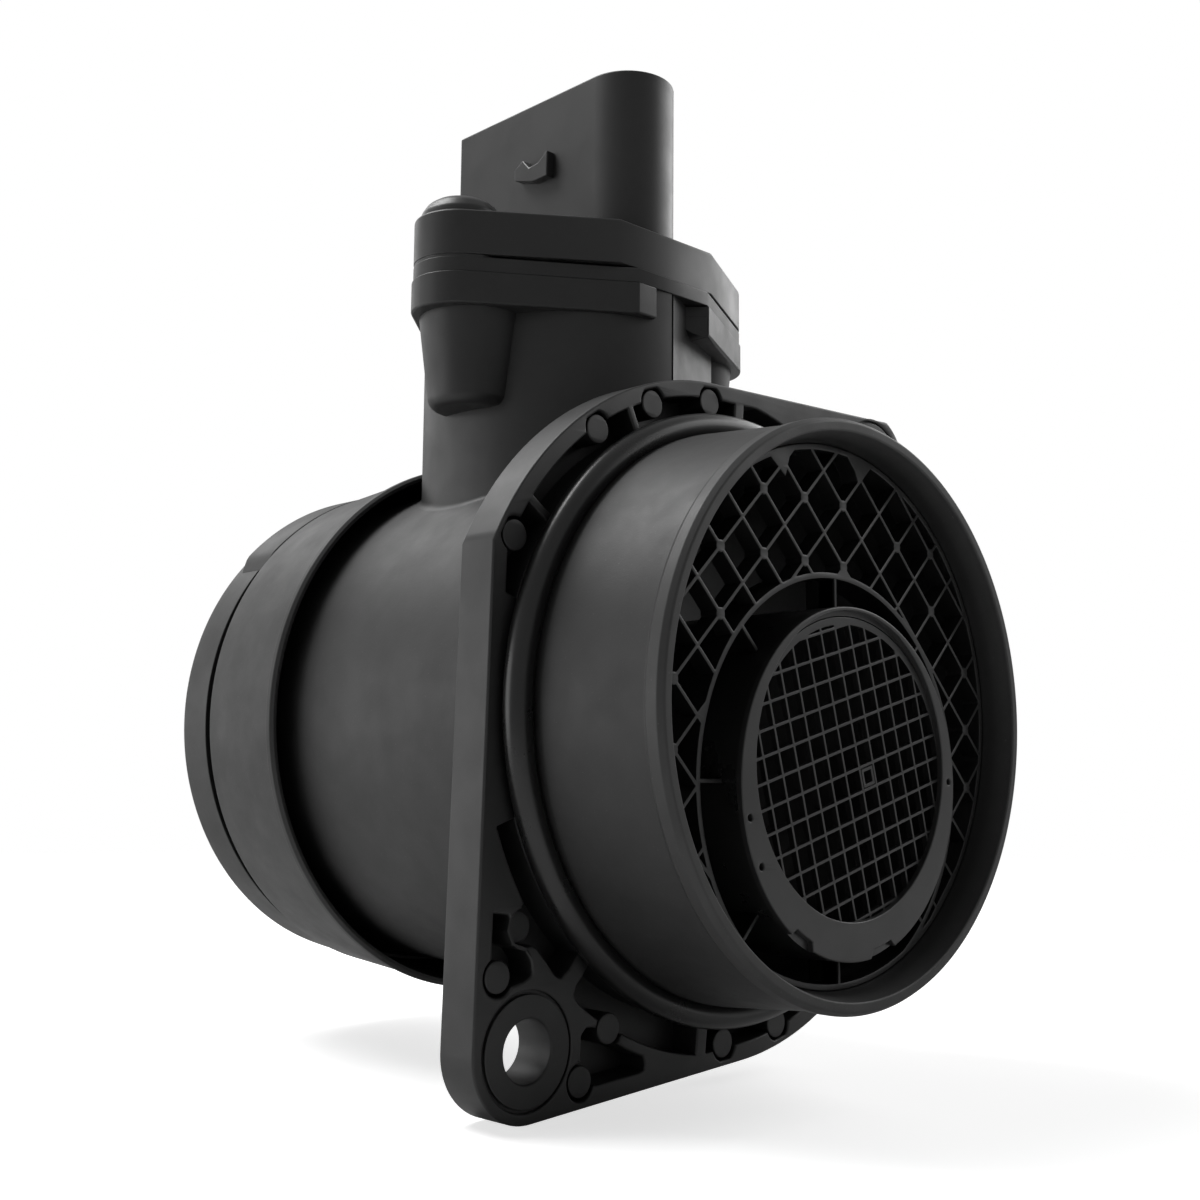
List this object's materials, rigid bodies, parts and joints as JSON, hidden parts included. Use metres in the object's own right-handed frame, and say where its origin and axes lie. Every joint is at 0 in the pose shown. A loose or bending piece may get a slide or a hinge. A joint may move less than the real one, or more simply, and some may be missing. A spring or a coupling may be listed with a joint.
{
  "type": "mass airflow sensor",
  "caption": "Round duct with a diagonal bolt flange, an inlet grid round a screened measuring tube, and a plug-in sensor with an upright connector on a neck.",
  "frame": {"origin": "on the duct axis, in the front face of the mounting flange", "axes": "+Y along the duct with the air, from the inlet with the grid to the outlet; +Z from the duct axis up to the connector; +X completes the right-handed frame"},
  "size_m": [0.0998, 0.117, 0.1659],
  "materials": {
    "housing_plastic": "fine-grained black moulding",
    "sensor_plastic": "fine-grained black moulding",
    "seal_rubber": "smooth black rubber",
    "screw_steel": "black coated steel",
    "terminal_brass": "tin plated",
    "carrier_metal": "plain rolled",
    "board": "white ceramic",
    "chip": "dark epoxy",
    "gel": "clear silicone gel",
    "bead": "glass coated bead"
  },
  "bodies": {
    "root": {"housing": "housing_plastic", "inlet_grid": "housing_plastic", "measuring_tube": "housing_plastic", "tube_screen": "housing_plastic", "spigot_seal": "seal_rubber", "sensor_body": "sensor_plastic", "sensor_seal": "seal_rubber", "screw_left": "screw_steel", "screw_right": "screw_steel", "terminal_1": "terminal_brass", "terminal_2": "terminal_brass", "terminal_3": "terminal_brass", "terminal_4": "terminal_brass", "terminal_5": "terminal_brass", "carrier_plate": "carrier_metal", "circuit_board": "board", "signal_chip": "chip", "gel_fill": "gel", "electronics_cover": "sensor_plastic", "channel_cover": "sensor_plastic", "sensing_element": "chip", "temperature_sensor": "bead"}
  },
  "joints": []
}
